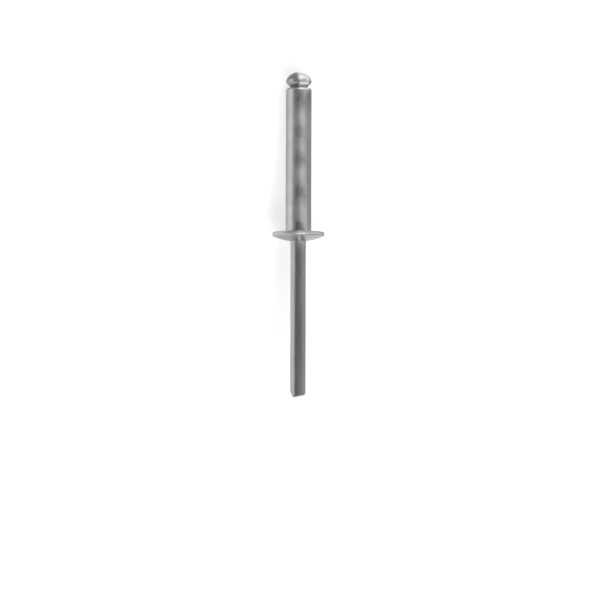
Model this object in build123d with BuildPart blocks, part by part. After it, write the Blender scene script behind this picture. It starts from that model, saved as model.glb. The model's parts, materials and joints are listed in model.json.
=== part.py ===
# Blind rivet, as it comes from the box: an aluminium tube body with a domed flange, threaded on
# the steel mandrel whose head will later be pulled back into the tube.
# The rivet lies as it comes to rest, on the flange's rim and on the mandrel's head.
# The head points along +Y and the tail along -Y, and +Z is up. Sizes are in millimetres.
import os
from math import asin, atan, atan2, cos, degrees, hypot, pi, radians, sin, tan

from build123d import *

# Rivet body
tube_diameter = 4.8
tube_length = 27.0  # from the seat under the flange to the open end
tube_lip_radius = 0.45
flange_diameter = 9.8
flange_rim_thickness = 0.7
flange_height = 1.75  # from the seat to where the dome would close over the axis
flange_rim_radius = 0.25
flange_root_radius = 0.2
bore_clearance = 0.05  # all round the mandrel
grip_length = 1.2  # where the hole through the flange closes on the mandrel
hole_edge_radius = 0.12

# Mandrel
mandrel_diameter = 2.9
mandrel_projection = 29.1  # from the top of the dome to the tip of the tail
head_diameter = 4.8  # no wider than the tube, so that it goes through the same drilled hole
head_lift = 1.17  # from the tube's open end to the head's widest circle
head_dome_height = 1.85  # from the widest circle to the crown
head_shoulder_radius = 1.3  # of the side of the dome
head_edge_radius = 0.4  # under the widest circle
head_cone_angle = 45.0  # of the underside, measured from the rivet's axis
neck_radius = 1.35  # where the underside runs out into the shank

# Break notch, pinched into four sides of the mandrel inside the tube
notch_inset = 2.0  # from the tube's open end to the middle of the notch
notch_width = 0.9
notch_depth = 0.35

# Tail, cut off aslant and nipped at its long corner
shear_angle = 11.0
nip_width = 0.55
nip_length = 1.0

tube_radius = tube_diameter / 2
flange_radius = flange_diameter / 2
shank_radius = mandrel_diameter / 2
head_radius = head_diameter / 2
bore_radius = shank_radius + bore_clearance

# Places along the rivet's axis, from the seat under the flange towards the head
head_height = tube_length + head_lift
crown_height = head_height + head_dome_height
notch_height = tube_length - notch_inset
tail_height = -flange_height - mandrel_projection
grip_height = grip_length - flange_height

# The side of the dome is an arc that turns by this angle before the crown's arc takes over
shoulder_rise = head_dome_height - head_shoulder_radius
shoulder_inset = head_radius - head_shoulder_radius
shoulder_sweep = pi / 2 - 2 * atan(shoulder_rise / shoulder_inset)

# The ground touches the rounded rim and the side of the dome, which gives the lean of the axis
rim_inset = flange_radius - flange_rim_radius
contact_run = head_height + flange_rim_radius
contact_drop = rim_inset - shoulder_inset
contact_span = hypot(contact_run, contact_drop)
contact_turn = asin((head_shoulder_radius - flange_rim_radius) / contact_span)
lean = atan2(contact_drop, contact_run) - contact_turn
seat_z = rim_inset * cos(lean) + flange_rim_radius * (1 - sin(lean))
seat_y = -(crown_height + tail_height) / 2 * cos(lean)

# Every profile is drawn on a plane through the rivet's axis: across is the radius, up is along it
profile_plane = Plane(origin=(0, seat_y, seat_z), x_dir=(1, 0, 0), z_dir=(0, sin(lean), cos(lean)))
rivet_axis = Axis(profile_plane.origin, profile_plane.y_dir)
seat_plane = Plane(origin=profile_plane.origin, x_dir=(1, 0, 0), z_dir=profile_plane.y_dir)

# Mandrel: a drawn wire with a domed head upset on one end
with BuildPart() as mandrel:
    with BuildSketch(profile_plane) as mandrel_profile:
        with BuildLine():
            shoulder_centre = (shoulder_inset, head_height)
            shoulder = CenterArc(shoulder_centre, head_shoulder_radius, 0, degrees(shoulder_sweep))
            crown = TangentArc(shoulder @ 1, (0, crown_height), tangent=shoulder % 1)
            edge_centre = (head_radius - head_edge_radius, head_height)
            edge = CenterArc(edge_centre, head_edge_radius, 0, head_cone_angle - 90)
            cone_run = ((edge @ 1).X - shank_radius) / tan(radians(head_cone_angle))
            neck_point = (shank_radius, (edge @ 1).Y - cone_run)
            Polyline(edge @ 1, neck_point, (shank_radius, tail_height), (0, tail_height), crown @ 1)
        make_face()
        fillet(mandrel_profile.vertices().sort_by_distance(neck_point)[0], neck_radius)
    revolve(axis=rivet_axis)

    # Two pairs of opposite notches leave a square neck that snaps when the rivet is set
    for turn in (0, 90):
        with BuildSketch(profile_plane.rotated((0, turn, 0))):
            with BuildLine():
                Polyline(
                    (shank_radius - notch_depth, notch_height),
                    (shank_radius, notch_height + notch_width / 2),
                    (head_radius, notch_height + notch_width / 2),
                    (head_radius, notch_height - notch_width / 2),
                    (shank_radius, notch_height - notch_width / 2),
                    close=True,
                )
            make_face()
            mirror(about=Plane.YZ)
        extrude(amount=head_radius, both=True, mode=Mode.SUBTRACT)

    # The cutter leaves the end aslant, with the long corner nipped off beside its tip
    with BuildSketch(profile_plane):
        with BuildLine():
            tip_x = nip_width - shank_radius
            cut_rise = (head_radius - tip_x) * tan(radians(shear_angle))
            nip_rise = (head_radius + tip_x) * nip_length / nip_width
            Polyline(
                (tip_x, tail_height),
                (head_radius, tail_height + cut_rise),
                (head_radius, tail_height - nip_length),
                (-head_radius, tail_height - nip_length),
                (-head_radius, tail_height + nip_rise),
                close=True,
            )
        make_face()
    extrude(amount=head_radius, both=True, mode=Mode.SUBTRACT)

# Rivet body: a tube with a domed flange, on the mandrel
with BuildPart() as rivet_body:
    with BuildSketch(profile_plane) as body_profile:
        with BuildLine():
            rim_point = (flange_radius, -flange_rim_thickness)
            dome = TangentArc((0, -flange_height), rim_point, tangent=(1, 0))
            seat_rim = (flange_radius, 0)
            seat_root = (tube_radius, 0)
            tube_lip = (tube_radius, tube_length)
            Polyline(dome @ 1, seat_rim, seat_root, tube_lip, (0, tube_length), dome @ 0)
        make_face()
        corners = body_profile.vertices()
        rim_corners = [corners.sort_by_distance(corner)[0] for corner in (rim_point, seat_rim)]
        fillet(rim_corners, flange_rim_radius)
        fillet(body_profile.vertices().sort_by_distance(seat_root)[0], flange_root_radius)
        fillet(body_profile.vertices().sort_by_distance(tube_lip)[0], tube_lip_radius)
    revolve(axis=rivet_axis)
    with Locations(seat_plane.offset(tube_length)):
        Hole(bore_radius, depth=tube_length - grip_height)

    # The hard mandrel shapes its own grip in the flange and its own seat in the tube's mouth
    add(mandrel.part, mode=Mode.SUBTRACT)
    fillet(rivet_body.edges().sort_by(rivet_axis)[0], hole_edge_radius)

rivet_body.part.label = "rivet_body"
mandrel.part.label = "mandrel"
os.makedirs("parts", exist_ok=True)
export_step(rivet_body.part, "parts/rivet_body.step")
export_step(mandrel.part, "parts/mandrel.step")
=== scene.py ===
"""A blind rivet, an aluminium body on a steel mandrel, lying on a pale floor.

Objects are in metres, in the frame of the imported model: the rivet lies on the floor at z = 0, with
its head towards +Y and its tail towards -Y. Its sections are drawn with a radius and a height, and
heights are measured along the rivet from the seat under its flange, positive towards the head.
"""

import json
from math import acos, asin, atan, atan2, ceil, cos, hypot, pi, radians, sin, sqrt, tan

import bmesh
import bpy
from bpy.props import FloatProperty, FloatVectorProperty, IntProperty, PointerProperty
from bpy.types import NodeSocket, Operator, Panel, PropertyGroup, Scene
from mathutils import Matrix, Vector


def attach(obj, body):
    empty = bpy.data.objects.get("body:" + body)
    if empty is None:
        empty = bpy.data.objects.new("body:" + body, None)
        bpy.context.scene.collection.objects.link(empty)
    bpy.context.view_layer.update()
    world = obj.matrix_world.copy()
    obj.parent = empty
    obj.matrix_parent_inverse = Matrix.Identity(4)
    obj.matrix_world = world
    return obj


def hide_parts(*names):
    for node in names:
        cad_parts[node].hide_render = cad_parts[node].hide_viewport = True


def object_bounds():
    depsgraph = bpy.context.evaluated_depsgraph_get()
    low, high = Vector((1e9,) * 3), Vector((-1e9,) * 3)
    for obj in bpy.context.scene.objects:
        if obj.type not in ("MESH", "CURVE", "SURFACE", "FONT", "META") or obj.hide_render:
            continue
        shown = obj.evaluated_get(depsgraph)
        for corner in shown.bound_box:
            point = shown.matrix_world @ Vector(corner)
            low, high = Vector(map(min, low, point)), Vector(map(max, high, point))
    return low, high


bl_info = {
    "name": "Blind Rivet",
    "version": (1, 0, 0),
    "blender": (4, 5, 0),
    "location": "3D View > Sidebar > Rivet",
    "description": "Adds a blind rivet, its finishes and a pale stage to photograph it on",
    "category": "Add Mesh",
}

MM = 0.001

# A round of a profile is divided until each facet is below both of these
FACET_ANGLE = radians(6)
FACET_LENGTH = 0.6 * MM
SHARP_ANGLE = radians(30)
NOTCH_RINGS = 4  # on each side of the middle of the break notch
BURR_STEPS = 4  # facets across the worn edge of the tail

# Points nearer than these to the axis or to each other are one point
POLE_RADIUS = 1e-6 * MM
MERGE_DISTANCE = 0.001 * MM

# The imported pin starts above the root's round and ends below the lip's
LIP_RADIUS = 0.45 * MM
ROOT_RADIUS = 0.2 * MM

# The paper takes the shadow up to the first distance, and is pure white from the second, in metres
SHADOW_REACH = 0.1
WHITE_REACH = 0.5
FLOOR_SEGMENTS = 96
SWEEP_STEPS = 16
SENSOR_WIDTH = 36  # millimetres
SOFTBOX_DISTANCE = 0.5  # metres from the middle of the rivet's place

# Softboxes: the setting for how bright each looks, its azimuth and elevation in degrees, its width and
# height in metres, and whether reflections see it. The right one only lights, as cards stand there
SOFTBOXES = (
    ("left_softbox", "left_box", -90, 36, 1.1, 0.12, True),
    ("right_softbox", "right_box", 90, 56, 0.7, 0.26, False),
    ("head_softbox", "head_box", 16, 28, 0.4, 0.5, True),
    ("tail_softbox", "tail_box", 150, 48, 0.5, 0.32, True),
)

# Places of the cards are in millimetres
ON_FLOOR = 0.1
UNDER_OTHERS = 0.05  # the large floor cards lie under the small ones
FOOT_HEIGHT = 10
PANEL_HEIGHT = 12
TOP_HEIGHT = 20
RIGHT_SIDE = 8
BEFORE_SIDE = 7.9  # the mouth's card stands just before the side card
UNDER_HEAD = 28
HEAD_END = 44
TAIL_END = -46

# Cards: two opposite corners, and the setting for how bright each looks
CARDS = (
    # Under and beside the tube and the mandrel
    ("tube_floor_card", (-16, 1, UNDER_OTHERS), (16, 31, UNDER_OTHERS), "floor_card"),
    ("mandrel_floor_card", (-5, -40, UNDER_OTHERS), (16, 1, UNDER_OTHERS), "floor_card"),
    ("tube_side_card", (RIGHT_SIDE, 0.9, 0), (RIGHT_SIDE, 28, 7.5), "tube_side_card"),
    ("tube_side_floor_card", (3, 0.9, ON_FLOOR), (RIGHT_SIDE, 28, ON_FLOOR), "tube_side_card"),
    ("mouth_card", (BEFORE_SIDE, 25.6, 0), (BEFORE_SIDE, 27.5, 7.5), "mouth_card"),
    ("mandrel_side_card", (RIGHT_SIDE, -40, 0), (RIGHT_SIDE, -1, 12), "mandrel_side_card"),
    # Above the tube's foot, above the mandrel and beyond its tail
    ("foot_card", (-2, 1.4, FOOT_HEIGHT), (2.3, 2.9, FOOT_HEIGHT), "gap_card"),
    ("mandrel_top_card", (8.5, -40, TOP_HEIGHT), (23, 0.6, TOP_HEIGHT), "mandrel_top_card"),
    ("tail_card", (-5, TAIL_END, 0), (5, TAIL_END, 16), "tail_card"),
    # The flange's dome reflects the floor, and its rim what is above it
    ("flange_left_card", (-6, -16, ON_FLOOR), (-0.6, -0.5, ON_FLOOR), "flange_left_card"),
    ("flange_right_card", (0.2, -16, ON_FLOOR), (8, -0.5, ON_FLOOR), "flange_right_card"),
    ("rim_left_card", (-14, -0.5, PANEL_HEIGHT), (-0.3, 1.2, PANEL_HEIGHT), "flange_left_card"),
    ("rim_right_card", (-0.3, -0.5, PANEL_HEIGHT), (20, 1.3, PANEL_HEIGHT), "rim_right_card"),
    # Round the head, and in the gap between it and the tube
    ("head_left_card", (-22, HEAD_END, 0), (-0.5, HEAD_END, 28), "head_left_card"),
    ("head_floor_card", (-22, 31, ON_FLOOR), (-0.5, HEAD_END, ON_FLOOR), "head_floor_card"),
    ("head_front_card", (-0.5, 31, ON_FLOOR), (14, HEAD_END, ON_FLOOR), "head_front_card"),
    ("head_right_card", (-0.5, HEAD_END, 0), (14, HEAD_END, 16), "head_right_card"),
    ("head_side_card", (14, 32, 0), (14, HEAD_END, 4), "head_right_card"),
    ("underside_card", (0.2, UNDER_HEAD, 3.4), (3.4, UNDER_HEAD, 4.8), "underside_card"),
)

# Panels above the tube: start, end and brightness. The dark gaps between them show as soft bands
TUBE_PANELS = ((3.0, 8.0, 0.78), (10.2, 14.0, 1.08), (16.2, 19.2, 1.1), (21.3, 25.1, 1.04))
PANEL_GAPS = ((8.0, 10.2), (14.0, 16.2), (19.2, 21.3), (25.1, 27.3))
GAP_LEFT = -3
GAP_RIGHT = 20

# Each panel is in strips that brighten towards the right: left, right and how bright it looks
PANEL_STRIPS = ((-9, 0.8, 0.44), (0.8, 2.5, 0.74), (2.5, 5, 0.98), (5, 20, 1.06))

# A last panel above the head, from start to end, in two strips
HEAD_PANEL_START = 29.2
HEAD_PANEL_END = 33
HEAD_STRIPS = ((-9, 1, 0.36), (1, 20, 1.1))

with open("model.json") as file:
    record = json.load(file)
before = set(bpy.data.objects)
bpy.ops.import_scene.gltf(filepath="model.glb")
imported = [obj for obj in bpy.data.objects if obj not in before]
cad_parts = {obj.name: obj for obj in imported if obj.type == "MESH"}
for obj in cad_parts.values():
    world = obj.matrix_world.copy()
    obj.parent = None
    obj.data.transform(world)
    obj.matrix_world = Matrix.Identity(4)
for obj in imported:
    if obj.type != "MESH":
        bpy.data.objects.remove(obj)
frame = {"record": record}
cad_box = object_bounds()

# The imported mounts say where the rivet's axis and its seat are
mounts = {mount["name"]: mount for mount in frame["record"]["mounts"]}
AXIS = Vector(mounts["flange_seat"]["axis"]).normalized()
SEAT = Vector((0, *mounts["flange_seat"]["pos_m"][1:]))
ACROSS = Vector((1, 0, 0))
RIVET_FRAME = Matrix((ACROSS, AXIS.cross(ACROSS), AXIS)).transposed().to_4x4()
RIVET_FRAME.translation = SEAT
SHANK_RADIUS = mounts["shank"]["dims"]["r_mm"] * MM
SHANK_LENGTH = mounts["shank"]["dims"]["length_mm"] * MM


# Settings

def linear(sample):
    """An sRGB hex colour as linear red, green and blue."""
    channels = [int(sample[i : i + 2], 16) / 255 for i in (1, 3, 5)]
    return [c / 12.92 if c <= 0.04045 else ((c + 0.055) / 1.055) ** 2.4 for c in channels]


def size(name, description, metres):
    """A length that the user can change."""
    return FloatProperty(
        name=name, description=description, default=metres, min=0, precision=5, unit="LENGTH"
    )


def angle(name, description, degrees):
    """An angle that the user can change."""
    return FloatProperty(
        name=name, description=description, default=radians(degrees), subtype="ANGLE"
    )


def colour(name, description, sample):
    """A colour that the user can change."""
    return FloatVectorProperty(
        name=name, description=description, default=linear(sample), min=0, max=1, subtype="COLOR"
    )


def level(name, description, radiance):
    """How bright a lamp's face or a card looks, where 1 is white."""
    return FloatProperty(name=name, description=description, default=radiance, min=0)


class RivetBodySettings(PropertyGroup):
    """The aluminium tube and its flange."""

    tube_diameter: size("Tube Diameter", "Outside of the tube", 2 * SHANK_RADIUS)
    tube_length: size(
        "Tube Length", "From the seat to the open end", SHANK_LENGTH + LIP_RADIUS + ROOT_RADIUS
    )
    lip_radius: size("Lip Radius", "Round of the tube's open end", LIP_RADIUS)
    root_radius: size("Root Radius", "Round between the tube and the seat", ROOT_RADIUS)
    flange_diameter: size("Flange Diameter", "Outside of the flange", 9.8 * MM)
    flange_height: size("Flange Height", "From the seat to the dome's top", 1.75 * MM)
    rim_thickness: size("Rim Thickness", "Straight edge of the flange", 0.7 * MM)
    rim_radius: size("Rim Radius", "Rounds of the flange's edge", 0.25 * MM)
    bore_diameter: size("Bore Diameter", "Hole through the tube", 3.0 * MM)
    grip_length: size("Grip Length", "Where the flange grips the mandrel", 1.2 * MM)
    hole_edge_radius: size("Hole Edge Radius", "Round of the hole in the dome", 0.12 * MM)
    segments: IntProperty(name="Segments", description="Facets round the body", default=160, min=24)
    aluminium: colour("Aluminium", "Colour of the tumbled aluminium", "#BCBBBA")


class MandrelSettings(PropertyGroup):
    """The steel wire with its upset head."""

    diameter: size("Diameter", "Thickness of the wire", 2.9 * MM)
    projection: size("Projection", "From the dome's top to the tail's tip", 29.1 * MM)
    head_diameter: size("Head Diameter", "Widest circle of the head", 4.8 * MM)
    head_lift: size("Head Lift", "From the tube's end to the widest circle", 1.17 * MM)
    head_dome_height: size("Dome Height", "From the widest circle to the crown", 1.85 * MM)
    shoulder_radius: size("Shoulder Radius", "Round of the dome's side", 1.3 * MM)
    edge_radius: size("Edge Radius", "Round under the widest circle", 0.4 * MM)
    cone_angle: angle("Cone Angle", "Of the underside, from the rivet's axis", 45)
    neck_radius: size("Neck Radius", "Where the underside meets the shank", 1.35 * MM)
    notch_inset: size("Notch Inset", "From the tube's end to the break notch", 2.0 * MM)
    notch_width: size("Notch Width", "Along the mandrel", 0.9 * MM)
    notch_depth: size("Notch Depth", "Of each of its four sides", 0.35 * MM)
    shear_angle: angle("Shear Angle", "Slant of the cut end", 11)
    nip_width: size("Nip Width", "Across the nipped corner", 0.55 * MM)
    nip_length: size("Nip Length", "Along the nipped corner", 1.0 * MM)
    burr: size("Burr", "Width of the worn edge round the cut", 0.16 * MM)
    segments: IntProperty(name="Segments", description="Facets round the mandrel", default=128, min=24)
    plating: colour("Plating", "Colour of the zinc plating", "#ACABAD")
    bare_steel: colour("Bare Steel", "Colour of the sheared end", "#A9A7A4")


class StageSettings(PropertyGroup):
    """The floor, the lamps, the cards and the camera."""

    floor_radius: size("Floor Radius", "Flat part of the floor", 0.9)
    sweep_radius: size("Sweep Radius", "Curve up to the wall", 0.3)
    wall_height: size("Wall Height", "Top of the wall above the floor", 0.75)
    paper: colour("Paper", "Colour of the floor and the wall", "#DCDCDC")
    paper_glow: level("Paper Glow", "Light that the paper adds to its own picture", 0.6)
    world: level("World", "Brightness of the room", 0.22)
    left_box: level("Left Softbox", "Long softbox beside the rivet", 0.3)
    right_box: level("Right Softbox", "High softbox on the other side", 0.35)
    head_box: level("Head Softbox", "Softbox beyond the head", 1.5)
    tail_box: level("Tail Softbox", "Softbox beyond the tail", 3.4)
    floor_card: level("Floor Card", "Pale grey cards under the rivet", 0.76)
    tube_side_card: level("Tube Side Card", "Dark cards beside the tube", 0.49)
    gap_card: level("Gap Card", "Dark cards between the panels and above the tube's foot", 0.03)
    mandrel_side_card: level("Mandrel Side Card", "Grey card beside the mandrel", 0.6)
    mandrel_top_card: level("Mandrel Top Card", "Dark card above the mandrel, to the right", 0.25)
    flange_left_card: level("Flange Left Card", "Grey cards left of the flange", 0.68)
    flange_right_card: level("Flange Right Card", "White card right of the flange", 1.0)
    rim_right_card: level("Rim Right Card", "Bright card above the rim, to the right", 1.15)
    tail_card: level("Tail Card", "Dark card beyond the tail", 0.1)
    head_left_card: level("Head Left Card", "Dark card left of the head", 0.38)
    head_right_card: level("Head Right Card", "Bright cards right of the head", 2.4)
    head_front_card: level("Head Front Card", "Bright card on the floor before the head", 1.6)
    head_floor_card: level("Head Floor Card", "Grey card on the floor left of the head", 0.5)
    underside_card: level("Underside Card", "Bright card between the head and the tube", 1.7)
    mouth_card: level("Mouth Card", "Dark card beside the tube's mouth", 0.22)
    camera_height: size("Camera Height", "Camera above the floor", 1.0)
    camera_reach: size("Camera Reach", "How far the camera stands towards the head", 14.0 * MM)
    aim: size("Aim", "How far towards the tail the camera looks", 12.25 * MM)
    aim_side: size("Aim Side", "How far to the right the camera looks", 0.26 * MM)
    roll: angle("Roll", "How far the picture's top leans to the right", 0.2)
    picture_width: size("Picture Width", "What the picture spans at the rivet", 112.06 * MM)


# Meshes

def arc(centre, radius, start, end):
    """Points on a round of a profile. Angles are from straight outwards towards the head."""
    length = abs(end - start) * radius
    steps = max(2, ceil(abs(end - start) / FACET_ANGLE), ceil(length / FACET_LENGTH))
    angles = [start + (end - start) * i / steps for i in range(steps + 1)]
    return [(centre[0] + radius * cos(a), centre[1] + radius * sin(a)) for a in angles]


def divided(profile):
    """The profile with its long straight runs divided, so that facets stay compact."""
    points = [profile[0]]
    for start, end in zip(profile, profile[1:]):
        run = hypot(end[0] - start[0], end[1] - start[1])
        steps = max(1, ceil(run / (2 * FACET_LENGTH)))
        for i in range(1, steps + 1):
            share = i / steps
            points.append(tuple(a + (b - a) * share for a, b in zip(start, end)))
    return points


def turned(profile, segments, closed=False):
    """A mesh turned from a profile about the rivet's axis. A point on the axis becomes a pole."""
    mesh = bmesh.new()
    rings = []
    for radius, height in profile:
        if radius < POLE_RADIUS:
            rings.append([mesh.verts.new((0, 0, height))] * segments)
            continue
        turns = [2 * pi * i / segments for i in range(segments)]
        rings.append([mesh.verts.new((radius * cos(t), radius * sin(t), height)) for t in turns])
    if closed:
        rings.append(rings[0])
    for ring, following in zip(rings, rings[1:]):
        for i in range(segments):
            j = (i + 1) % segments
            corners = dict.fromkeys((ring[i], ring[j], following[j], following[i]))
            mesh.faces.new(corners)

    # Two rounds of a profile that meet share a ring
    bmesh.ops.remove_doubles(mesh, verts=mesh.verts, dist=MERGE_DISTANCE)
    bmesh.ops.recalc_face_normals(mesh, faces=mesh.faces)
    return mesh


def add_piece(name, mesh, node, materials):
    """Sets a mesh in the rivet's frame as the piece that stands for a CAD node."""
    mesh.transform(RIVET_FRAME)
    for face in mesh.faces:
        face.smooth = True
    data = bpy.data.meshes.new(name)
    mesh.to_mesh(data)
    mesh.free()
    data.set_sharp_from_angle(angle=SHARP_ANGLE)
    for material in materials:
        data.materials.append(material)
    piece = bpy.data.objects.new(name, data)
    bpy.context.collection.objects.link(piece)
    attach(piece, "root")
    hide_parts(node)


def neck_section(mandrel, tube_length):
    """Centre and angles of the round where the head's underside runs out into the shank."""
    shank = mandrel.diameter / 2
    edge_x = mandrel.head_diameter / 2 - mandrel.edge_radius * (1 - cos(mandrel.cone_angle))
    edge_z = tube_length + mandrel.head_lift - mandrel.edge_radius * sin(mandrel.cone_angle)
    corner_z = edge_z - (edge_x - shank) / tan(mandrel.cone_angle)
    start_z = corner_z - mandrel.neck_radius * tan(mandrel.cone_angle / 2)
    return (shank + mandrel.neck_radius, start_z), pi - mandrel.cone_angle, pi


def body_profile(body, mandrel):
    """The section through the body's wall: the dome, the rim, the tube, and back down the bore."""
    rim = body.flange_diameter / 2
    tube = body.tube_diameter / 2
    bore = body.bore_diameter / 2
    shank = mandrel.diameter / 2
    grip_end = body.grip_length - body.flange_height
    rise = body.flange_height - body.rim_thickness
    dome_radius = (rim**2 + rise**2) / (2 * rise)
    dome = (0, dome_radius - body.flange_height)

    def rounding(radius, at):
        """Centre of a round that touches the dome from inside, and the angle where it does."""
        centre = (at, dome[1] - sqrt((dome_radius - radius) ** 2 - at**2))
        return centre, atan2(centre[1] - dome[1], centre[0])

    hole_edge, hole_angle = rounding(body.hole_edge_radius, shank + body.hole_edge_radius)
    rim_edge, rim_angle = rounding(body.rim_radius, rim - body.rim_radius)
    seat_edge = (rim - body.rim_radius, -body.rim_radius)
    root = (tube + body.root_radius, body.root_radius)
    lip = (tube - body.lip_radius, body.tube_length - body.lip_radius)

    # The mouth is shaped by the round of the mandrel's neck, from the tube's end down to the bore
    neck, _, _ = neck_section(mandrel, body.tube_length)
    mouth_start = pi - asin((body.tube_length - neck[1]) / mandrel.neck_radius)
    mouth_end = pi - acos((neck[0] - bore) / mandrel.neck_radius)
    return divided(
        arc(hole_edge, body.hole_edge_radius, -pi, hole_angle)
        + arc(dome, dome_radius, hole_angle, rim_angle)
        + arc(rim_edge, body.rim_radius, rim_angle, 0)
        + arc(seat_edge, body.rim_radius, 0, pi / 2)
        + arc(root, body.root_radius, -pi / 2, -pi)
        + arc(lip, body.lip_radius, 0, pi / 2)
        + arc(neck, mandrel.neck_radius, mouth_start, mouth_end)
        + [(bore, grip_end), (shank, grip_end)]
    )


def mandrel_profile(body, mandrel):
    """Half of the mandrel's section, from the crown of its head down to below its tail."""
    head = mandrel.head_diameter / 2
    shank = mandrel.diameter / 2
    head_z = body.tube_length + mandrel.head_lift
    notch_z = body.tube_length - mandrel.notch_inset
    tail_z = -body.flange_height - mandrel.projection

    # Two rounds make the dome: the shoulder turns until the crown's larger round is level on the axis
    inset = head - mandrel.shoulder_radius
    rise = mandrel.head_dome_height - mandrel.shoulder_radius
    sweep = pi / 2 - 2 * atan(rise / inset)
    crown_radius = mandrel.shoulder_radius + inset / cos(sweep)
    crown = (0, head_z + mandrel.head_dome_height - crown_radius)
    edge = (head - mandrel.edge_radius, head_z)
    neck, neck_start, neck_end = neck_section(mandrel, body.tube_length)
    ring_gap = mandrel.notch_width / 2 / NOTCH_RINGS
    notch_steps = [ring_gap * i for i in range(NOTCH_RINGS, -NOTCH_RINGS - 1, -1)]
    return divided(
        arc(crown, crown_radius, pi / 2, sweep)
        + arc((inset, head_z), mandrel.shoulder_radius, sweep, 0)
        + arc(edge, mandrel.edge_radius, 0, mandrel.cone_angle - pi / 2)
        + arc(neck, mandrel.neck_radius, neck_start, neck_end)
        + [(shank, notch_z + step) for step in notch_steps]
        + [(shank, tail_z), (0, tail_z)]
    )


def pinch_notch(mesh, body, mandrel):
    """Presses four flats into the shank, deepest at the middle of the notch."""
    shank = mandrel.diameter / 2
    notch_z = body.tube_length - mandrel.notch_inset
    for vertex in mesh.verts:
        offset = abs(vertex.co.z - notch_z) / (mandrel.notch_width / 2)
        if offset < 1:
            flat = shank - mandrel.notch_depth * (1 - offset)
            vertex.co.x = max(-flat, min(flat, vertex.co.x))
            vertex.co.y = max(-flat, min(flat, vertex.co.y))


def cut_tail(mesh, body, mandrel):
    """Shears the tail aslant, nips its long corner and wears the edge of both cuts."""
    tip = (mandrel.nip_width - mandrel.diameter / 2, 0, -body.flange_height - mandrel.projection)
    shear = (sin(mandrel.shear_angle), 0, -cos(mandrel.shear_angle))
    nip = (-mandrel.nip_length, 0, -mandrel.nip_width)
    rims = set()
    for normal in (shear, nip):
        everything = mesh.verts[:] + mesh.edges[:] + mesh.faces[:]
        cut = bmesh.ops.bisect_plane(
            mesh, geom=everything, plane_co=tip, plane_no=normal, clear_outer=True
        )
        rim = [part for part in cut["geom_cut"] if isinstance(part, bmesh.types.BMEdge)]
        filled = bmesh.ops.edgeloop_fill(mesh, edges=rim, mat_nr=1)
        rims.update(edge for face in filled["faces"] for edge in face.edges)
    rims = [edge for edge in rims if edge.is_valid]
    bmesh.ops.bevel(
        mesh, geom=rims, offset=mandrel.burr, segments=BURR_STEPS, affect="EDGES", material=-1
    )
    bmesh.ops.recalc_face_normals(mesh, faces=mesh.faces)


# Materials

def add_node(tree, kind, settings=(), **inputs):
    """Adds a node. Settings are its properties. An input is a value, or the output that feeds it."""
    node = tree.nodes.new(kind)
    for name, value in dict(settings).items():
        setattr(node, name, value)
    for name, value in inputs.items():
        socket = node.inputs[int(name[1:]) if name[1:].isdigit() else name.replace("_", " ")]
        if isinstance(value, NodeSocket):
            tree.links.new(value, socket)
        else:
            socket.default_value = value
    return node


def new_material(name):
    """An empty node material, and its tree."""
    material = bpy.data.materials.new(name)
    material.use_nodes = True
    material.node_tree.nodes.clear()
    return material, material.node_tree


def rivet_millimetres(tree):
    """Coordinates in millimetres across and along the rivet, for patterns with a real size."""
    place = add_node(tree, "ShaderNodeTexCoord")
    return add_node(
        tree, "ShaderNodeMapping", {"vector_type": "TEXTURE"},
        Vector=place.outputs["Object"], Location=SEAT,
        Rotation=RIVET_FRAME.to_euler(), Scale=(MM, MM, MM),
    ).outputs["Vector"]


def tumbled_aluminium(body):
    """Aluminium tumbled in a barrel: satin, faintly mottled, with small dings that blur its glints."""
    material, tree = new_material("tumbled_aluminium")
    place = rivet_millimetres(tree)

    # Clouds are about 2.8 mm long along the tube, and wider than the tube across it
    clouds_per_mm = (0.12, 0.12, 0.36)
    stretched = add_node(
        tree, "ShaderNodeVectorMath", {"operation": "MULTIPLY"}, Vector=place, _1=clouds_per_mm
    )
    clouds = add_node(
        tree, "ShaderNodeTexNoise", Vector=stretched.outputs[0], Scale=1.0, Detail=2.0, Roughness=0.5
    )
    cloudy = add_node(
        tree, "ShaderNodeMapRange",
        Value=clouds.outputs["Fac"], From_Min=0.35, From_Max=0.65, To_Min=0.0, To_Max=1.0,
    )
    dulling = 0.86
    dull = [channel * dulling for channel in body.aluminium]
    tint = add_node(
        tree, "ShaderNodeMix", {"data_type": "RGBA"},
        _0=cloudy.outputs[0], _6=(*body.aluminium, 1), _7=(*dull, 1),
    )

    # Dings are about 0.1 mm across, and are drawn at 0.5 mm so that they show
    dings_per_mm = 2.0
    ding_depth = 0.02 * MM
    dings = add_node(
        tree, "ShaderNodeTexNoise", Vector=place, Scale=dings_per_mm, Detail=3.0, Roughness=0.55
    )
    satin = add_node(
        tree, "ShaderNodeMapRange",
        Value=dings.outputs["Fac"], From_Min=0.3, From_Max=0.7, To_Min=0.28, To_Max=0.4,
    )
    relief = add_node(
        tree, "ShaderNodeBump", Height=dings.outputs["Fac"], Strength=0.35, Distance=ding_depth
    )
    shader = add_node(
        tree, "ShaderNodeBsdfPrincipled",
        Base_Color=tint.outputs["Result"], Metallic=1.0, Roughness=satin.outputs[0],
        Normal=relief.outputs[0],
    )
    add_node(tree, "ShaderNodeOutputMaterial", Surface=shader.outputs[0])
    return material


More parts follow.
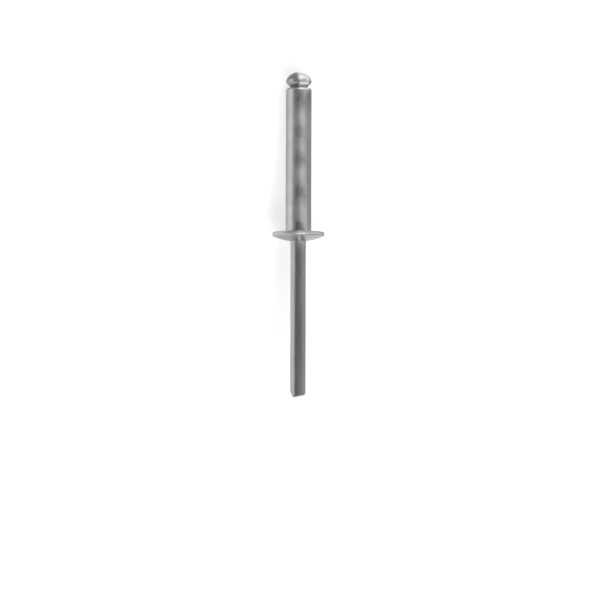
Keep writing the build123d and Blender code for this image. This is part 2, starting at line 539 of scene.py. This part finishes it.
def zinc_plated_steel(mandrel, head_height):
    """Drawn steel wire under thin zinc: semi-bright, with fine lengthwise lines and an even head."""
    material, tree = new_material("zinc_plated_steel")
    place = rivet_millimetres(tree)

    # The plating's tint drifts over about 3 mm
    drifts_per_mm = 0.35
    dulling = 0.84
    plating = add_node(
        tree, "ShaderNodeTexNoise", Vector=place, Scale=drifts_per_mm, Detail=2.0, Roughness=0.5
    )
    dull = [channel * dulling for channel in mandrel.plating]
    tint = add_node(
        tree, "ShaderNodeMix", {"data_type": "RGBA"},
        _0=plating.outputs["Fac"], _6=(*mandrel.plating, 1), _7=(*dull, 1),
    )

    # Die lines are about 0.02 mm apart, and are drawn at 0.25 mm so that they show
    lines_per_mm = (4.0, 4.0, 0.12)
    line_depth = 0.01 * MM
    stretched = add_node(
        tree, "ShaderNodeVectorMath", {"operation": "MULTIPLY"}, Vector=place, _1=lines_per_mm
    )
    lines = add_node(
        tree, "ShaderNodeTexNoise", Vector=stretched.outputs[0], Scale=1.0, Detail=3.0, Roughness=0.6
    )
    drawn = add_node(
        tree, "ShaderNodeMapRange",
        Value=lines.outputs["Fac"], From_Min=0.3, From_Max=0.7, To_Min=0.24, To_Max=0.36,
    )

    # The header's punch has evened the gloss of the head, from just below its widest circle
    head_roughness = 0.3
    head_blend = 0.8
    head_start = head_height / MM - head_blend
    height = add_node(tree, "ShaderNodeSeparateXYZ", Vector=place)
    on_head = add_node(
        tree, "ShaderNodeMapRange", {"interpolation_type": "SMOOTHSTEP"},
        Value=height.outputs["Z"], From_Min=head_start, From_Max=head_height / MM,
    )
    gloss = add_node(
        tree, "ShaderNodeMix", {"data_type": "FLOAT"},
        _0=on_head.outputs[0], _2=drawn.outputs[0], _3=head_roughness,
    )
    relief = add_node(
        tree, "ShaderNodeBump", Height=lines.outputs["Fac"], Strength=0.3, Distance=line_depth
    )
    shader = add_node(
        tree, "ShaderNodeBsdfPrincipled",
        Base_Color=tint.outputs["Result"], Metallic=1.0, Roughness=gloss.outputs[0],
        Normal=relief.outputs[0],
    )
    add_node(tree, "ShaderNodeOutputMaterial", Surface=shader.outputs[0])
    return material


def sheared_steel(mandrel):
    """Steel as the cutter left it: bare and duller, scored across in the direction of the cut."""
    material, tree = new_material("sheared_steel")
    place = rivet_millimetres(tree)

    # Score marks are about 0.03 mm apart, and are drawn at 0.2 mm so that they show
    scores_per_mm = (0.6, 5.0, 0.6)
    score_depth = 0.02 * MM
    stretched = add_node(
        tree, "ShaderNodeVectorMath", {"operation": "MULTIPLY"}, Vector=place, _1=scores_per_mm
    )
    scores = add_node(
        tree, "ShaderNodeTexNoise", Vector=stretched.outputs[0], Scale=1.0, Detail=3.0, Roughness=0.6
    )
    rough = add_node(
        tree, "ShaderNodeMapRange",
        Value=scores.outputs["Fac"], From_Min=0.3, From_Max=0.7, To_Min=0.35, To_Max=0.5,
    )
    relief = add_node(
        tree, "ShaderNodeBump", Height=scores.outputs["Fac"], Strength=0.5, Distance=score_depth
    )
    shader = add_node(
        tree, "ShaderNodeBsdfPrincipled",
        Base_Color=(*mandrel.bare_steel, 1), Metallic=1.0, Roughness=rough.outputs[0],
        Normal=relief.outputs[0],
    )
    add_node(tree, "ShaderNodeOutputMaterial", Surface=shader.outputs[0])
    return material


def white_paper(stage):
    """Matt white paper: a plain pale ground that takes a soft shadow and turns pure white further out."""
    material, tree = new_material("white_paper")
    place = add_node(tree, "ShaderNodeTexCoord")
    distance = add_node(
        tree, "ShaderNodeVectorMath", {"operation": "LENGTH"}, Vector=place.outputs["Object"]
    )
    glow = add_node(
        tree, "ShaderNodeMapRange", {"interpolation_type": "SMOOTHSTEP"},
        Value=distance.outputs["Value"], From_Min=SHADOW_REACH, From_Max=WHITE_REACH,
        To_Min=stage.paper_glow, To_Max=1.0,
    )

    # Only the camera's own rays and the reflected and refracted ones see the glow
    path = add_node(tree, "ShaderNodeLightPath")
    direct = add_node(
        tree, "ShaderNodeMath", {"operation": "MAXIMUM"},
        _0=path.outputs["Is Camera Ray"], _1=path.outputs["Is Glossy Ray"],
    )
    background = add_node(
        tree, "ShaderNodeMath", {"operation": "MAXIMUM"},
        _0=direct.outputs[0], _1=path.outputs["Is Transmission Ray"],
    )
    seen_glow = add_node(
        tree, "ShaderNodeMath", {"operation": "MULTIPLY"},
        _0=glow.outputs[0], _1=background.outputs[0],
    )
    shader = add_node(
        tree, "ShaderNodeBsdfPrincipled",
        Base_Color=(*stage.paper, 1), Roughness=1.0, Specular_IOR_Level=0.0,
        Emission_Color=(1, 1, 1, 1), Emission_Strength=seen_glow.outputs[0],
    )
    add_node(tree, "ShaderNodeOutputMaterial", Surface=shader.outputs[0])
    return material


def plain_card(name, radiance):
    """Matt card that looks equally bright from everywhere, so that it only shapes reflections."""
    material, tree = new_material(name)
    shader = add_node(tree, "ShaderNodeEmission", Color=(1, 1, 1, 1), Strength=radiance)
    add_node(tree, "ShaderNodeOutputMaterial", Surface=shader.outputs[0])
    return material


# Stage

def add_floor(stage):
    """A round floor of paper that sweeps up into a wall."""
    sweep = (stage.floor_radius, stage.sweep_radius)
    turns = [-pi / 2 * (1 - i / SWEEP_STEPS) for i in range(SWEEP_STEPS + 1)]
    profile = [(0, 0)]
    profile += [
        (sweep[0] + stage.sweep_radius * cos(a), sweep[1] + stage.sweep_radius * sin(a)) for a in turns
    ]
    profile.append((stage.floor_radius + stage.sweep_radius, stage.wall_height))
    mesh = turned(profile, FLOOR_SEGMENTS)
    for face in mesh.faces:
        face.smooth = True
    data = bpy.data.meshes.new("paper_floor")
    mesh.to_mesh(data)
    mesh.free()
    data.materials.append(white_paper(stage))
    floor = bpy.data.objects.new("paper_floor", data)
    bpy.context.collection.objects.link(floor)


def add_world(stage):
    """A dim room, which is what the rivet's top reflects between the softboxes."""
    world = bpy.data.worlds.new("dim_room")
    world.use_nodes = True
    world.node_tree.nodes.clear()
    room = add_node(
        world.node_tree, "ShaderNodeBackground", Color=(1, 1, 1, 1), Strength=stage.world
    )
    add_node(world.node_tree, "ShaderNodeOutputWorld", Surface=room.outputs[0])
    bpy.context.scene.world = world


def add_softbox(name, radiance, azimuth, elevation, width, height, reflected):
    """A softbox that faces the rivet. Azimuth is from the head's side towards the right."""
    turn = radians(azimuth)
    rise = radians(elevation)
    direction = Vector((sin(turn) * cos(rise), cos(turn) * cos(rise), sin(rise)))
    lamp = bpy.data.lights.new(name, "AREA")
    lamp.shape = "RECTANGLE"
    lamp.size = width
    lamp.size_y = height
    lamp.energy = radiance * pi * width * height
    softbox = bpy.data.objects.new(name, lamp)
    softbox.location = direction * SOFTBOX_DISTANCE
    softbox.rotation_euler = direction.to_track_quat("Z", "Y").to_euler()
    softbox.visible_camera = False
    softbox.visible_glossy = reflected
    bpy.context.collection.objects.link(softbox)


def add_card(name, low, high, radiance):
    """A card that only reflections see. Its opposite corners, in millimetres, share one coordinate."""
    flat = next(i for i in range(3) if low[i] == high[i])
    first, second = (i for i in range(3) if i != flat)
    corners = [Vector(low) for _ in range(4)]
    corners[1][first] = corners[2][first] = high[first]
    corners[2][second] = corners[3][second] = high[second]
    mesh = bmesh.new()
    mesh.faces.new([mesh.verts.new(corner * MM) for corner in corners])
    data = bpy.data.meshes.new(name)
    mesh.to_mesh(data)
    mesh.free()
    data.materials.append(plain_card(name, radiance))
    card = bpy.data.objects.new(name, data)
    card.visible_camera = False
    card.visible_diffuse = False
    card.visible_shadow = False
    card.visible_transmission = False
    card.visible_volume_scatter = False
    bpy.context.collection.objects.link(card)


def add_panels(stage):
    """A row of panels above the tube with dark gaps between them, and one above the head."""
    for start, end, share in TUBE_PANELS:
        for left, right, radiance in PANEL_STRIPS:
            low = (left, start, PANEL_HEIGHT)
            add_card("tube_panel", low, (right, end, PANEL_HEIGHT), radiance * share)
    for start, end in PANEL_GAPS:
        low = (GAP_LEFT, start, PANEL_HEIGHT)
        add_card("panel_gap", low, (GAP_RIGHT, end, PANEL_HEIGHT), stage.gap_card)
    for left, right, radiance in HEAD_STRIPS:
        low = (left, HEAD_PANEL_START, PANEL_HEIGHT)
        add_card("head_panel", low, (right, HEAD_PANEL_END, PANEL_HEIGHT), radiance)


def add_camera(stage):
    """A long lens that looks down on the rivet, with the head at the top of the picture."""
    centre_z = (cad_box[0].z + cad_box[1].z) / 2
    target = Vector((stage.aim_side, -stage.aim, centre_z))
    place = Vector((stage.aim_side, stage.camera_reach, stage.camera_height))
    data = bpy.data.cameras.new("camera")
    data.sensor_width = SENSOR_WIDTH
    data.lens = SENSOR_WIDTH * (place - target).length / stage.picture_width
    camera = bpy.data.objects.new("camera", data)
    camera.location = place
    camera.rotation_euler = (-atan2(place.y - target.y, place.z - target.z), 0, stage.roll)
    bpy.context.collection.objects.link(camera)
    bpy.context.scene.camera = camera


# Operators

class RIVET_OT_add_body(Operator):
    """Add the aluminium tube with its domed flange"""

    bl_idname = "rivet.add_body"
    bl_label = "Add Rivet Body"
    bl_options = {"REGISTER", "UNDO"}

    def execute(self, context):
        body = context.scene.rivet_body
        mesh = turned(body_profile(body, context.scene.rivet_mandrel), body.segments, closed=True)
        add_piece(
            "aluminium_body", mesh, "rivet_body", [tumbled_aluminium(body)]
        )
        return {"FINISHED"}


class RIVET_OT_add_mandrel(Operator):
    """Add the steel mandrel with its head, break notch and cut tail"""

    bl_idname = "rivet.add_mandrel"
    bl_label = "Add Mandrel"
    bl_options = {"REGISTER", "UNDO"}

    def execute(self, context):
        body = context.scene.rivet_body
        mandrel = context.scene.rivet_mandrel
        mesh = turned(mandrel_profile(body, mandrel), mandrel.segments)
        pinch_notch(mesh, body, mandrel)
        cut_tail(mesh, body, mandrel)
        head_height = body.tube_length + mandrel.head_lift
        materials = [zinc_plated_steel(mandrel, head_height), sheared_steel(mandrel)]
        add_piece("steel_mandrel", mesh, "mandrel", materials)
        return {"FINISHED"}


class RIVET_OT_add_stage(Operator):
    """Add the paper floor, the softboxes, the cards and the camera"""

    bl_idname = "rivet.add_stage"
    bl_label = "Add Stage"
    bl_options = {"REGISTER", "UNDO"}

    def execute(self, context):
        stage = context.scene.rivet_stage
        add_floor(stage)
        add_world(stage)
        for name, setting, *placing in SOFTBOXES:
            add_softbox(name, getattr(stage, setting), *placing)
        for name, low, high, setting in CARDS:
            add_card(name, low, high, getattr(stage, setting))
        add_panels(stage)
        add_camera(stage)
        context.scene.view_settings.view_transform = "Standard"
        return {"FINISHED"}


class RIVET_PT_panel(Panel):
    """Sidebar panel with the rivet's settings"""

    bl_label = "Blind Rivet"
    bl_idname = "RIVET_PT_panel"
    bl_space_type = "VIEW_3D"
    bl_region_type = "UI"
    bl_category = "Rivet"

    def draw(self, context):
        groups = (
            (RIVET_OT_add_body, context.scene.rivet_body),
            (RIVET_OT_add_mandrel, context.scene.rivet_mandrel),
            (RIVET_OT_add_stage, context.scene.rivet_stage),
        )
        for operator, settings in groups:
            box = self.layout.box()
            for name in type(settings).__annotations__:
                box.prop(settings, name)
            box.operator(operator.bl_idname)


CLASSES = (
    RivetBodySettings,
    MandrelSettings,
    StageSettings,
    RIVET_OT_add_body,
    RIVET_OT_add_mandrel,
    RIVET_OT_add_stage,
    RIVET_PT_panel,
)


def register():
    for kind in CLASSES:
        bpy.utils.register_class(kind)
    Scene.rivet_body = PointerProperty(type=RivetBodySettings)
    Scene.rivet_mandrel = PointerProperty(type=MandrelSettings)
    Scene.rivet_stage = PointerProperty(type=StageSettings)


def unregister():
    del Scene.rivet_stage
    del Scene.rivet_mandrel
    del Scene.rivet_body
    for kind in reversed(CLASSES):
        bpy.utils.unregister_class(kind)


def main():
    register()
    bpy.ops.rivet.add_body()
    bpy.ops.rivet.add_mandrel()
    bpy.ops.rivet.add_stage()


if __name__ == "__main__":
    main()
